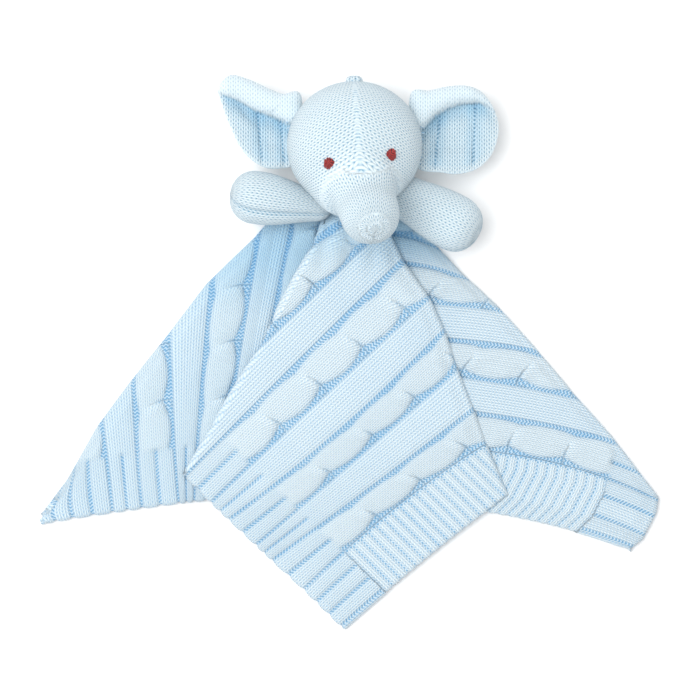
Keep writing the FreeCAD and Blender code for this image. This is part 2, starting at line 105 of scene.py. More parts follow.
def gutter_shade(profile):
    """Painted shade of a rib: its flanks are painted a little deeper than its top, and its gutters much
    deeper.
    """
    gutter = 1.0 - smooth(profile / DEEP_PROFILE)
    flank = 0.42 * (1.0 - smooth(profile / FLANK_PROFILE))
    return np.maximum(gutter, flank)


def cable(d, u):
    """Height of a cable, its shade, and how far its stitches lean, d from its middle line.

    Each lobe runs from one crossing to the next, and its far end lies over the start of the next."""
    half = CABLE / 2.0 - GUTTER
    side = d / half
    share = (u + LOBE_ROUND * side ** 2 - LOBE_TILT * side - FIRST_CROSSING) / CROSSING_STEP
    share = share - np.floor(share)
    run = share * CROSSING_STEP
    left = CROSSING_STEP - run
    pinch = 1.0 - np.sin(math.pi * share)
    low_side = -half * (1.0 - LOW_NOTCH * pinch)
    high_side = half * (1.0 - HIGH_NOTCH * pinch)
    profile = hump(d - (low_side + high_side) / 2.0, (high_side - low_side) / 2.0, power=3.0)
    low_half = smooth((0.65 - side) / 1.3)
    drop = 0.5 * low_half
    rise = drop * smooth(run / 9.0) + 0.1 * low_half * groove(left - 3.5, 4.0)
    height = CABLE_HEIGHT * profile * (1.0 - drop + rise * smooth(left / 2.4))
    # the crease paints shade where a lobe's end steps over the start of the next
    crease = groove(np.minimum(run, left), 1.1) * 0.65 * smooth((0.1 - side) / 0.7)
    lean = END_LEAN * low_half * smooth((share - 0.68) / 0.32)
    return height, np.maximum(gutter_shade(profile), crease), lean


def rib_place(q):
    """Counts border ribs: two to a cable, two to a plain rib, three in the corner."""
    turn = np.floor((q - BORDER) / PERIOD)
    rest = q - BORDER - turn * PERIOD
    inside = np.where(rest < CABLE, 2.0 * rest / CABLE, 2.0 + 2.0 * (rest - CABLE) / PLAIN)
    return np.where(q < BORDER, q / CORNER_RIB, 3.0 + 4.0 * turn + inside)


def relief(q, u):
    """Height, shade and stitch lean of the cloth at q across and u along its ribs."""
    turn = np.floor((q - BORDER) / PERIOD)
    rest = q - BORDER - turn * PERIOD
    cable_height, cable_shade, lean = cable(rest - CABLE / 2.0, u)
    from_plain = rest - CABLE - PLAIN / 2.0
    plain = PLAIN_HEIGHT * hump(from_plain, (PLAIN - GUTTER) / 2.0, power=3.2)
    on_cable = rest < CABLE
    height = np.where(on_cable, cable_height, plain)
    plain_shade = np.maximum(gutter_shade(plain / PLAIN_HEIGHT), PLAIN_SHADE)
    shade = np.where(on_cable, cable_shade, plain_shade)
    lean = np.where(on_cable, lean, 0.0)
    place = rib_place(q)
    phase = (place - np.floor(place)) - 0.5
    rib = RIB_HEIGHT * hump(phase, 0.42, power=2.6)
    ridge_phase = (u - BORDER) / RIDGE_PITCH
    ridge = RIDGE_HEIGHT * np.abs(np.sin(math.pi * ridge_phase)) ** 0.8
    side_band = (q < BORDER) & (u > BORDER)
    to_border = smooth((u - BORDER + 2.0) / 4.0)
    height = np.where(side_band, ridge, rib + (height - rib) * to_border)
    # painted shade in the gaps between the border's ribs and between the band's ridges
    rib_shade = np.maximum(0.95 * (1.0 - smooth(rib / RIB_HEIGHT / 0.6)), PLAIN_SHADE)
    ridge_shade = 0.8 * (1.0 - smooth(ridge / RIDGE_HEIGHT / 0.8))
    shade = np.where(side_band, ridge_shade, rib_shade + (shade - rib_shade) * to_border)
    lean = np.where(side_band, 0.0, lean * to_border)
    edge = np.exp(-((q - BORDER) / 1.3) ** 2) * (u > BORDER)
    height = height - 0.5 * edge * height
    shade = np.maximum(shade, edge)
    return height, shade, lean


def surface_normals(points):
    """Unit normals of a grid of points, upward where the grid lies flat."""
    along = np.gradient(points, axis=1)
    across = np.gradient(points, axis=0)
    normal = np.cross(along, across)
    length = np.linalg.norm(normal, axis=2, keepdims=True)
    return normal / np.maximum(length, 1e-9)


def new_object(name, data):
    made = bpy.data.objects.new(name, data)
    bpy.context.collection.objects.link(made)
    return made


def finish_mesh(mesh, material, **marks):
    """Gives a mesh its material, smooth shading and its stitch marks, which have a value for each point."""
    for mark, values in marks.items():
        layer = mesh.attributes.new(mark, "FLOAT", "POINT")
        layer.data.foreach_set("value", values.astype(np.float32))
    mesh.polygons.foreach_set("use_smooth", [True] * len(mesh.polygons))
    mesh.materials.append(material)


def mesh_piece(name, points, faces, marks, material):
    """A mesh object of those points, in millimetres, that its faces use."""
    points = points.reshape(-1, 3)
    used = np.unique(faces)
    index = np.full(len(points), -1)
    index[used] = np.arange(len(used))
    mesh = bpy.data.meshes.new(name)
    mesh.from_pydata((points[used] * MM).tolist(), [], index[faces].tolist())
    finish_mesh(mesh, material, **{mark: np.ravel(values)[used] for mark, values in marks.items()})
    mesh.update()
    return new_object(name, mesh)


def dress(piece, body, slot, *nodes):
    """Lets a piece ride on a body, in the place of the nodes that it stands for."""
    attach(piece, body)
    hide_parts(*nodes)


def ring_faces(rings, around, inward=False):
    """Quads between closed rings of points numbered ring by ring; inward turns them over."""
    ring = np.arange(around)
    after = (ring + 1) % around
    start = np.arange(rings - 1)[:, None] * around
    quads = np.stack([start + ring, start + after, start + around + after, start + around + ring], axis=2)
    quads = quads.reshape(-1, 4)
    return quads[:, [0, 3, 2, 1]] if inward else quads


def ring_places(rings, around, first, last):
    """Steps from first to last along a tube, and angles round it, for every point of its rings."""
    angles = np.linspace(0.0, 2.0 * math.pi, around, endpoint=False)
    return np.meshgrid(np.linspace(first, last, rings), angles, indexing="ij")


def grid_faces(rows, columns):
    """Quads of a grid of points numbered row by row, facing up for a right-handed grid."""
    start = (np.arange(rows - 1)[:, None] * columns + np.arange(columns - 1)[None, :]).ravel()
    return np.stack([start, start + columns, start + columns + 1, start + 1], axis=1)


def spread_out(values, reach=4):
    """Values along an edge, each averaged with its neighbours so that corners are turned gently."""
    padded = np.pad(values, reach, mode="edge")
    return np.convolve(padded, np.full(2 * reach + 1, 1.0 / (2 * reach + 1)), mode="valid")


def outward_slope(values, inward, tangent, outward):
    """How fast a mark of the grid grows past its last column, in the outward direction."""
    fall = values[:, -1 - EDGE_SPAN] - values[:, -1]
    drift = np.gradient(values[:, -1])
    area = inward[:, 0] * tangent[:, 1] - inward[:, 1] * tangent[:, 0]
    flat = np.abs(area) > 0.02
    safe = np.where(flat, area, 1.0)
    along_x = (fall * tangent[:, 1] - drift * inward[:, 1]) / safe
    along_y = (drift * inward[:, 0] - fall * tangent[:, 0]) / safe
    slope = along_x * outward[:, 0] + along_y * outward[:, 1]
    return np.where(flat, slope, -fall / np.maximum(np.linalg.norm(inward, axis=1), 1e-6))


def rolled(points, marks, radius, tail, keep, side, square=True):
    """Adds a roll round the last column of a grid, or the first, and a tail folded back under it.

    keep is the share of the relief that is left where the roll has turned under. A square roll turns
    square to the edge at each point, any other in one direction all along."""
    if side == "first":
        points = points[:, ::-1]
        marks = {key: value[:, ::-1] for key, value in marks.items()}
    last = points[:, -1]
    inward = points[:, -1 - EDGE_SPAN] - last
    tangent = np.gradient(last, axis=0)
    outward = np.stack([tangent[:, 1], -tangent[:, 0], np.zeros(len(last))], axis=1)
    outward = outward * np.sign(-(outward * inward).sum())
    outward = np.stack([spread_out(outward[:, axis]) for axis in range(3)], axis=1)
    if not square:
        middle = slice(len(last) // 4, 3 * len(last) // 4)
        outward = np.broadcast_to(-inward[middle].mean(axis=0) * [1.0, 1.0, 0.0], last.shape)
    outward = outward / np.maximum(np.linalg.norm(outward, axis=1, keepdims=True), 1e-9)
    turns = np.linspace(0.0, math.pi, max(6, int(math.pi * radius / CELL)))[1:]
    steps = np.arange(CELL * 2.0, tail, CELL * 2.0)
    width = np.linalg.norm(last - points[:, 0], axis=1, keepdims=True)
    room = np.minimum(1.0, 0.6 * width / tail)
    extra = []
    runs = []
    for angle in turns:
        drop = np.array([0.0, 0.0, radius * (1.0 - math.cos(angle))])
        extra.append(last + outward * radius * math.sin(angle) - drop)
        runs.append(radius * angle)
    for step in steps:
        extra.append(last - outward * step * room - np.array([0.0, 0.0, 2.0 * radius]))
        runs.append(radius * math.pi + step)
    points = np.concatenate([points, np.stack(extra, axis=1)], axis=1)
    grown = {}
    fade = 1.0 - (1.0 - keep) * smooth(np.array(runs) / (radius * 1.6))
    for key, value in marks.items():
        if key == "depth":
            grown[key] = np.concatenate([value, value[:, -1:] * fade[None, :]], axis=1)
            continue
        slope = outward_slope(value, inward, tangent, outward)
        more = np.stack([value[:, -1] + slope * run for run in runs], axis=1)
        grown[key] = np.concatenate([value, more], axis=1)
    if side == "first":
        points = points[:, ::-1]
        grown = {key: value[:, ::-1] for key, value in grown.items()}
    return points, grown


def transposed(points, marks):
    return points.transpose(1, 0, 2), {key: value.T for key, value in marks.items()}


def cloth_lines(lines, q):
    """Start, middle and end points of the cloth's lines at q, between the given lines."""
    keys = [line[0] for line in lines]
    spots = []
    for place in (1, 2, 3):
        xs = np.interp(q, keys, [line[place][0] for line in lines])
        ys = np.interp(q, keys, [line[place][1] for line in lines])
        spots.append(np.stack([xs, ys], axis=1))
    return spots


def inset(edge, other, radius):
    """Moves an edge towards the other side by a radius, square to itself."""
    tangent = np.gradient(edge, axis=0)
    normal = np.stack([tangent[:, 1], -tangent[:, 0]], axis=1)
    normal = np.stack([spread_out(normal[:, axis]) for axis in range(2)], axis=1)
    normal /= np.maximum(np.linalg.norm(normal, axis=1, keepdims=True), 1e-9)
    return edge + normal * np.sign((normal * (other - edge)).sum()) * radius


def even_places(lines, q_range, cell):
    """Places across the cloth, a cell apart where its lines lie furthest from each other."""
    fine = np.linspace(*q_range, 4000)
    apart = [np.linalg.norm(np.diff(spots, axis=0), axis=1) for spots in cloth_lines(lines, fine)]
    run = np.concatenate([[0.0], np.cumsum(np.max(apart, axis=0))])
    return np.interp(np.arange(0.0, run[-1], cell), run, fine)


def cloth_grid(lines, q_range, start_u, height, start, end, low, high, cell=CELL):
    """A sheet of knitted cloth laid along its lines.

    start, end, low and high are (radius, tail, keep) of the roll at each side of the grid, or None."""
    q = even_places(lines, q_range, cell)
    first, middle, last = cloth_lines(lines, q)
    if start:
        first = inset(first, middle, start[0])
    if end:
        last = inset(last, middle, end[0])
    longest = np.linalg.norm(last - first, axis=1).max()
    s = np.linspace(0.0, 1.0, int(longest / cell) + 2)[None, :, None]
    flat = (first[:, None] * (1 - s) * (1 - 2 * s) + middle[:, None] * 4 * s * (1 - s)
            + last[:, None] * s * (2 * s - 1))
    run = np.linalg.norm(np.diff(flat, axis=1), axis=2)
    u = np.concatenate([np.zeros((len(q), 1)), np.cumsum(run, axis=1)], axis=1)
    u = u + start_u(q)[:, None]
    marks = {"q": np.repeat(q[:, None], u.shape[1], axis=1), "u": u, "depth": np.ones_like(u)}
    points = np.concatenate([flat, height(flat[..., 0], flat[..., 1])[..., None]], axis=2)
    for side, roll in ((0, start), (-1, end)):
        if roll and roll[2] < HEM_KEEP:
            from_edge = np.abs(u - u[:, side][:, None])
            marks["depth"] = marks["depth"] * (0.3 + 0.7 * smooth(from_edge / 8.0))
    if start:
        points, marks = rolled(points, marks, *start, "first")
    if end:
        points, marks = rolled(points, marks, *end, "last")
    points, marks = transposed(points, marks)
    if low:
        points, marks = rolled(points, marks, *low, "first", square=False)
    if high:
        points, marks = rolled(points, marks, *high, "last", square=False)
    return transposed(points, marks)


def knitted_sheet(name, band_name, grid, material, band_material, painted_shade=None):
    """The cable-knit piece and, if it has a name and the grid has one, the side band knitted on to it.

    Its last argument, a function of y, gives the shade painted on the cloth where it lies in folds."""
    points, marks = grid
    height, shade, lean = relief(marks["q"], marks["u"])
    normal = surface_normals(points)
    if normal[..., 2].mean() < 0.0:
        normal = -normal
    points = points + normal * (height * marks["depth"])[..., None]
    points[..., 2] = np.maximum(points[..., 2], CLOTH_FLOOR)
    side_band = (marks["q"] < BORDER) & (marks["u"] > BORDER)
    knit = {"wale": np.where(side_band, marks["u"] / RIDGE_PITCH * 2.0, (marks["q"] + lean) / WALE),
            "row": np.where(side_band, marks["q"] / ROW, marks["u"] / ROW),
            "shade": shade}
    if painted_shade:
        knit["painted_shade"] = painted_shade(points[..., 1])
    faces = grid_faces(*shade.shape)
    in_band = side_band.ravel()[faces].all(axis=1) & bool(band_name)
    sheet = mesh_piece(name, points, faces[~in_band], knit, material)
    band = None
    if in_band.any():
        band = mesh_piece(band_name, points, faces[in_band], knit, band_material)
    return sheet, band


# ---- materials

LIT = (0.690, 0.780, 0.818, 1.0)        # the blanket's yarn where it faces the light
FINE_LIT = (0.725, 0.825, 0.870, 1.0)   # the same on the elephant
FOLD_SHADE = (0.580, 0.800, 0.940, 1.0)  # painted shade: what the yarn is multiplied by in folds and hollows
DEEP = (0.170, 0.410, 0.650, 1.0)       # painted shade: the yarn down between its stitches and in the gutters
GREY_DEEP = (0.150, 0.345, 0.500, 1.0)  # the same painted shade in the fine knitting, greyer where the filling shows
STITCH_SLOPE = 1.7  # rows that the legs of a stitch rise from its middle to its sides, twice
PURL_FROM = 0.55  # the shade from which the knitting shows its purl side
FIBRE_SCALE = 1900.0
PATCH_SCALE = 55.0
UNEVEN = 0.05  # how far the yarn's tone wanders over the cloth
SPECKLED = 0.16  # the same from fibre to fibre
HEIGHT_SHADE = 0.26  # painted shade: how much deeper the yarn is down in a stitch than on top of it
TWIST_SCALE = 420.0


def feed(tree, made, inputs):
    """Gives a node its inputs, each a value or an output of another node."""
    for key, value in inputs.items():
        if isinstance(value, bpy.types.NodeSocket):
            tree.links.new(value, made.inputs[key])
        else:
            made.inputs[key].default_value = value
    return made


def node(tree, kind, inputs=None, **settings):
    made = tree.nodes.new(kind)
    for key, value in settings.items():
        setattr(made, key, value)
    return feed(tree, made, inputs or {})


def calc(tree, operation, *inputs):
    """A Math node; inputs are numbers or other nodes' outputs."""
    return node(tree, "ShaderNodeMath", dict(enumerate(inputs)), operation=operation).outputs[0]


def ramp(tree, value, low, high):
    """0 below low, 1 above high, straight between them; low may be the larger."""
    inputs = {"Value": value, "From Min": low, "From Max": high}
    return node(tree, "ShaderNodeMapRange", inputs, clamp=True).outputs[0]


def mixed(tree, factor, first, second, way="MIX"):
    """The first colour at factor 0; at 1 the second, or the first multiplied by it."""
    inputs = {0: factor, 6: first, 7: second}
    made = node(tree, "ShaderNodeMix", inputs, data_type="RGBA", blend_type=way, clamp_factor=True)
    return made.outputs[2]


def stitches(tree, wale, row, shade):
    """Height and holes of the V-shaped stitches, changing to purl bumps in the gutters."""
    side = calc(tree, "ABSOLUTE", calc(tree, "SUBTRACT", calc(tree, "FRACT", wale), 0.5))
    leaning = calc(tree, "SUBTRACT", row, calc(tree, "MULTIPLY", side, STITCH_SLOPE))
    leg = calc(tree, "SINE", calc(tree, "MULTIPLY", calc(tree, "FRACT", leaning), math.pi))
    from_leg = calc(tree, "MULTIPLY", calc(tree, "SUBTRACT", side, 0.25), 4.0)
    column = calc(tree, "SUBTRACT", 1.0, calc(tree, "MULTIPLY", from_leg, from_leg))
    knit = calc(tree, "MULTIPLY", calc(tree, "POWER", column, 0.6),
                calc(tree, "MULTIPLY_ADD", leg, 0.65, 0.35))
    open_end = ramp(tree, leg, 0.8, 0.1)
    middle_hole = calc(tree, "MULTIPLY", ramp(tree, side, 0.20, 0.04), open_end)
    edge_hole = calc(tree, "MULTIPLY", ramp(tree, side, 0.32, 0.46), open_end)
    hole = calc(tree, "MAXIMUM", middle_hole, calc(tree, "MULTIPLY", edge_hole, 0.75))
    wave = calc(tree, "COSINE", calc(tree, "MULTIPLY", wale, 2.0 * math.pi))
    purl_row = calc(tree, "MULTIPLY_ADD", wave, 0.25, row)
    purl = calc(tree, "SINE", calc(tree, "MULTIPLY", calc(tree, "FRACT", purl_row), math.pi))
    in_gutter = calc(tree, "GREATER_THAN", shade, PURL_FROM)
    mix = node(tree, "ShaderNodeMix", {0: in_gutter, 2: knit, 3: purl}, data_type="FLOAT")
    return mix.outputs[0], hole


def attribute(tree, name):
    return node(tree, "ShaderNodeAttribute", attribute_name=name).outputs["Fac"]


def noise(tree, place, scale):
    return node(tree, "ShaderNodeTexNoise", {"Vector": place, "Scale": scale}).outputs["Fac"]


def bumps(tree, height, strength, depth):
    inputs = {"Height": height, "Strength": strength, "Distance": depth * MM}
    return node(tree, "ShaderNodeBump", inputs).outputs["Normal"]


def new_material(name):
    """A new material, its node tree and its shader."""
    material = bpy.data.materials.new(name)
    material.use_nodes = True
    return material, material.node_tree, material.node_tree.nodes["Principled BSDF"]


def yarn_material(name, relief_depth=0.9, lit=LIT, deep=DEEP, contrast=1.0, holes=0.45):
    """Knitted cotton yarn: stitches from the wale and row marks, with painted shade, a deeper blue, in the
    hollows.

    The mark shade is the gutters, painted deeper; the fold mark is painted shade in folds and hollows, and
    calm fades the stitches out."""
    material, tree, shader = new_material(name)
    shade = attribute(tree, "shade")
    height, hole = stitches(tree, attribute(tree, "wale"), attribute(tree, "row"), shade)
    lively = calc(tree, "SUBTRACT", 1.0, attribute(tree, "calm"))
    height = calc(tree, "MULTIPLY_ADD", calc(tree, "SUBTRACT", height, 0.8), lively, 0.8)
    place = node(tree, "ShaderNodeTexCoord").outputs["Object"]
    fibre = noise(tree, place, FIBRE_SCALE)
    patch = noise(tree, place, PATCH_SCALE)
    between = calc(tree, "MULTIPLY_ADD", height, -0.60, 0.72)
    between = calc(tree, "MULTIPLY_ADD", patch, 0.5, between)
    # height, holes and the shade mark paint shade deep in the stitches and gutters; patch and fibre are the
    # yarn's own uneven tone
    low = HEIGHT_SHADE * contrast - (UNEVEN + SPECKLED) / 2.0
    for cause, weight in (
            (height, -HEIGHT_SHADE * contrast), (calc(tree, "MULTIPLY", hole, lively), holes),
            (calc(tree, "MULTIPLY", shade, between), contrast), (patch, UNEVEN), (fibre, SPECKLED)):
        low = calc(tree, "MULTIPLY_ADD", cause, weight, low)
    # the fold mark multiplies the colour by the fold shade colour, painting shade in folds and hollows
    colour = mixed(tree, attribute(tree, "painted_shade"), mixed(tree, low, lit, deep), FOLD_SHADE, "MULTIPLY")
    fuzzy = calc(tree, "MULTIPLY_ADD", fibre, 0.35, height)
    feed(tree, shader, {"Base Color": colour, "Normal": bumps(tree, fuzzy, 0.75, relief_depth),
                        "Roughness": 0.92, "Specular IOR Level": 0.15,
                        "Sheen Weight": 0.25, "Sheen Roughness": 0.6})
    return material


def thread_material(name, bright, dark):
    """Twisted yarn: diagonal plies with painted shade, the dark colour, in the furrows between them."""
    material, tree, shader = new_material(name)
    inputs = {"Vector": node(tree, "ShaderNodeTexCoord").outputs["Object"],
              "Scale": TWIST_SCALE, "Distortion": 1.5}
    plies = node(tree, "ShaderNodeTexWave", inputs, bands_direction="DIAGONAL").outputs["Fac"]
    feed(tree, shader, {"Base Color": mixed(tree, plies, dark, bright),
                        "Normal": bumps(tree, plies, 0.6, 0.3),
                        "Roughness": 0.7, "Sheen Weight": 0.05})
    return material


# ---- stage

def make_stage():
    """A pale floor, an even sky and one broad lamp above on the left."""
    bpy.ops.mesh.primitive_plane_add(size=8.0)
    floor = bpy.context.object
    floor.name = "floor"
    paper, tree, shader = new_material("floor_paper")
    feed(tree, shader, {"Base Color": (0.97, 0.97, 0.97, 1.0), "Roughness": 1.0,
                        "Specular IOR Level": 0.0})
    floor.data.materials.append(paper)
    world = bpy.data.worlds.new("studio")
    bpy.context.scene.world = world
    world.use_nodes = True
    sky = world.node_tree.nodes["Background"]
    feed(world.node_tree, sky, {"Color": (1.0, 1.0, 1.0, 1.0), "Strength": 0.84})
    lamp = bpy.data.lights.new("key", "AREA")
    lamp.shape = "DISK"
    lamp.size = 1.3
    lamp.energy = 21.0
    key = new_object("key", lamp)
    key.location = (-0.55, 0.05, 1.60)
    key.rotation_euler = (Vector((0.0, 0.0, 0.0)) - key.location).to_track_quat("-Z", "Y").to_euler()
    bpy.context.scene.view_settings.view_transform = "Standard"


def make_camera():
    """Almost straight above, leaning 5 degrees towards the blanket's front corner."""
    target = Vector((0.6, 0.1, 6.0)) * MM
    elevation = math.radians(85.0)
    distance = 4.0
    view_width = 0.413
    camera_data = bpy.data.cameras.new("camera")
    camera_data.sensor_width = 36.0
    camera_data.lens = 36.0 * distance / view_width
    camera_data.clip_end = 20.0
    camera = new_object("camera", camera_data)
    direction = Vector((0.0, -math.cos(elevation), math.sin(elevation)))
    camera.location = target + direction * distance
    camera.rotation_euler = (-direction).to_track_quat("-Z", "Y").to_euler()
    bpy.context.scene.camera = camera


# ---- blanket

FRONT_LINES = [
    (0.0, (-4, -162.5), (46, -119.5), (93.5, -84)),
    (30.0, (-26, -141), (27, -93.5), (81.5, -56)),
    (52.5, (-44.5, -124), (20, -76.5), (74, -36)),
    (68.9, (-54, -115), (9, -60), (64.5, -12.5)),
    (91.4, (-70, -100), (-6, -49), (57, 10)),
    (107.8, (-80.5, -90), (-17, -29), (48, 30)),
    (130.3, (-97, -73.5), (-33, -11), (32.5, 52)),
    (146.7, (-49, 8), (-13.5, 39.5), (22, 73)),
    (170.0, (-17, 70), (-4, 76), (12, 82)),
    (186.0, (-12, 86), (-3, 88.5), (6, 91))]

LEFT_LINES = [
    (20.0, (-38, -84), (-16, 0), (8, 88)),
    (30.0, (-50, -84), (-34, -5), (-12, 88)),
    (52.5, (-62, -85.5), (-50, -8), (-33, 86)),
    (60.0, (-69, -86.3), (-59, -12), (-45, 80)),
    (68.9, (-76, -87), (-67, -18), (-56, 67)),
    (91.4, (-91, -88.5), (-88, -35), (-84, 40)),
    (107.8, (-100, -89.5), (-103.5, -48), (-109, 7)),
    (130.3, (-122, -92.5), (-125, -60), (-130, -19.5)),
    (146.7, (-139, -95), (-142, -70), (-148, -44)),
    (169.2, (-163, -98.5), (-164.5, -88), (-166, -76)),
    (182.0, (-179.5, -101.5), (-180, -99), (-180.5, -95.5))]

RIGHT_LINES = [
    (0.0, (166, -117), (118, -100.5), (62, -90)),
    (8.0, (173, -111.5), (118, -91.5), (61, -82)),
    (22.0, (181, -96), (121, -75), (60, -67)),
    (30.0, (182.5, -87), (123, -67), (60, -58)),
    (52.5, (155.5, -51.5), (108, -42.5), (55, -35)),
    (68.9, (133, -26), (92, -19.5), (46, -13)),
    (91.4, (110, 1.5), (76, 4.5), (40, 7)),
    (107.8, (88.5, 25.5), (60, 27), (34, 28)),
    (130.3, (66, 46.5), (45, 50), (26, 52)),
    (146.7, (50, 64), (35, 67), (20, 69)),
    (165.0, (42, 80), (30, 82), (14, 86))]


def front_height(x, y):
    """The front flap climbs from its corner on the floor to the neck, and dips under the chin."""
    t = np.clip((y + 162.0) / 235.0, 0.0, 1.0)
    pleat = np.cos((x - 6.0 - 0.12 * (y - 60.0)) * 2.0 * math.pi / 15.0)
    dip = 5.0 * smooth((y - 70.0) / 14.0)
    return 4.6 + 9.5 * t ** 0.75 - dip + 1.3 * pleat * smooth((y - 34.0) / 40.0)


def neck_shade(least, rise, start, width):
    """The painted shade of a flap, darker towards the neck, where it lies in the head's shade."""
    return lambda y: least + rise * smooth((y - start) / width)


def side_height(x, y):
    """The side flaps lie on the layer that is folded under them."""
    return 5.4 + 0.5 * np.sin(x / 31.0) * np.cos(y / 27.0)


def front_start(q):
    return np.interp(q, [130.3, 146.7, 170.0, 186.0], [0.0, 85.0, 150.0, 160.0])


def right_start(q):
    return 1.5 * np.maximum(q - 30.0, 0.0)


def make_blanket(cable_knit, rib_knit):
    hem = (HEM_RADIUS, 6.0, HEM_KEEP)
    fold = (FOLD_RADIUS, 20.0, 0.15)
    thin_fold = (2.6, 8.0, 0.3)
    front = cloth_grid(FRONT_LINES, (0.0, 186.0), front_start, front_height, hem, fold, hem, None)
    left = cloth_grid(LEFT_LINES, (20.0, 182.0), np.zeros_like, side_height, hem, fold, None, hem)
    right = cloth_grid(RIGHT_LINES, (0.0, 165.0), right_start, side_height, thin_fold, None, hem, hem)
    for name, grid, painted_shade, cut, area in (
            ("front_flap", front, neck_shade(0.0, 0.6, 40.0, 35.0), (0.190, 0.235), 0.0362),
            ("left_flap", left, neck_shade(0.15, 0.65, 15.0, 45.0), (0.170, 0.200), 0.0261),
            ("right_flap", right, neck_shade(0.0, 0.9, 42.0, 30.0), (0.165, 0.135), 0.0169)):
        band_name = None if name == "left_flap" else name + "_side_band"
        sheet, band = knitted_sheet(name, band_name, grid, cable_knit, rib_knit, painted_shade=painted_shade)
        dress(sheet, "blanket", "cable_knit", "blanket_panel")
        if band:
            dress(band, "blanket", "rib_knit", "right_side_band")


# ---- head and trunk

HEAD = np.array([3.3, 118.3, 33.0])
HEAD_RADII = np.array([40.0, 38.3, 31.5])
MUZZLE = np.array([2.8, 100.0, 38.0])
MUZZLE_RADII = np.array([28.0, 25.5, 26.0])
BRIDGE_START = np.array([3.6, 108.0, 41.0])
BRIDGE_RADIUS = 25.0
TRUNK_ROOT = np.array([7.0, 92.0, 44.0])
TRUNK_LEAN = math.radians(37.0)
TRUNK_SWING = math.radians(16.0)
TRUNK_LENGTH = 32.0
TRUNK_ROOT_RADIUS = 19.0
TRUNK_TIP_RADIUS = 17.6
TRUNK_AXIS = np.array([math.sin(TRUNK_LEAN) * math.sin(TRUNK_SWING),
                       -math.sin(TRUNK_LEAN) * math.cos(TRUNK_SWING), math.cos(TRUNK_LEAN)])
SKIN_VOXEL = 1.3
SKIN_SMOOTHING = 40
TUBE_SIDES = 64
SKIN_WALE = 3.2
SKIN_ROW = 2.8
TRUNK_STITCHES = 36
TRUNK_CLOSING = 9.0  # distance from the trunk's axis where every second stitch ends
CHEVRON = math.radians(33.0)


def ball_object(name, centre, radii):
    bpy.ops.mesh.primitive_ico_sphere_add(subdivisions=5, radius=1.0)
    ball = bpy.context.object
    ball.name = name
    ball.data.transform(Matrix.Diagonal((*(radii * MM), 1.0)))
    ball.data.transform(Matrix.Translation(Vector(centre * MM)))
    return ball


def tapered_object(name, start, end, start_radius, end_radius):
    """A closed cone frustum with a ball at its far end, its rings a few millimetres apart."""
    axis = end - start
    length = np.linalg.norm(axis)
    turn = Vector(axis).to_track_quat("Z", "Y").to_matrix()
    ball = end_radius * np.sin(np.linspace(0.0, math.pi / 2.0, 14)[1:-1])
    steps = np.concatenate([np.linspace(0.0, length, 16), length + ball])
    radii = np.where(steps <= length, start_radius + (end_radius - start_radius) * steps / length,
                     np.sqrt(np.maximum(end_radius ** 2 - (steps - length) ** 2, 0.0)))
    angles = np.linspace(0.0, 2.0 * math.pi, TUBE_SIDES, endpoint=False)
    points = [Vector(start) + turn @ Vector((r * math.cos(a), r * math.sin(a), z))
              for z, r in zip(steps, radii) for a in angles]
    faces = ring_faces(len(steps), TUBE_SIDES).tolist()
    faces.append(list(range(TUBE_SIDES - 1, -1, -1)))
    faces.append(list(range(len(points) - TUBE_SIDES, len(points))))
    mesh = bpy.data.meshes.new(name)
    mesh.from_pydata([tuple(point * MM) for point in points], [], faces)
    return new_object(name, mesh)


def merged_skin(name, parts):
    """One smooth closed skin round several overlapping shapes, which it replaces."""
    bpy.ops.object.select_all(action="DESELECT")
    for part in parts:
        part.select_set(True)
    bpy.context.view_layer.objects.active = parts[0]
    bpy.ops.object.join()
    skin = bpy.context.object
    remesh = skin.modifiers.new("remesh", "REMESH")
    remesh.mode = "VOXEL"
    remesh.voxel_size = SKIN_VOXEL * MM
    melt = skin.modifiers.new("melt", "SMOOTH")
    melt.factor = 0.5
    melt.iterations = SKIN_SMOOTHING
    bpy.ops.object.modifier_apply(modifier="remesh")
    bpy.ops.object.modifier_apply(modifier="melt")
    skin.name = name
    skin.data.name = name
    return skin


def mesh_points(piece):
    points = np.empty(len(piece.data.vertices) * 3)
    piece.data.vertices.foreach_get("co", points)
    return points.reshape(-1, 3) / MM


def trunk_coordinates(points):
    """Distance along the trunk from its root, distance from its axis, and angle round it."""
    away = points - TRUNK_ROOT
    along = away @ TRUNK_AXIS
    side = np.cross(TRUNK_AXIS, [0.0, 1.0, 0.0])
    side /= np.linalg.norm(side)
    up = np.cross(side, TRUNK_AXIS)
    x = away @ side
    y = away @ up
    return along, np.hypot(x, y), np.arctan2(x, y)


def head_marks(points):
    """Stitches of the head: two slanting halves that meet on a line from the crown to the trunk."""
    away = (points - HEAD) / HEAD_RADII
    length = np.linalg.norm(away, axis=1)
    tilt = np.arccos(np.clip(away[:, 2] / length, -1.0, 1.0)) * HEAD_RADII.mean()
    flat = np.maximum(np.hypot(away[:, 0], away[:, 1]), 1e-6)
    x = tilt * away[:, 0] / flat
    y = tilt * away[:, 1] / flat
    side = np.sqrt((x - 0.10 * (40.0 - y) * 0.5) ** 2 + 0.6)
    across = side * math.sin(CHEVRON) + y * math.cos(CHEVRON)
    along = side * math.cos(CHEVRON) - y * math.sin(CHEVRON)
    middle = groove(side - 0.8, 1.0)
    return across / SKIN_WALE, along / SKIN_ROW, 0.12 * middle, 0.3 * middle


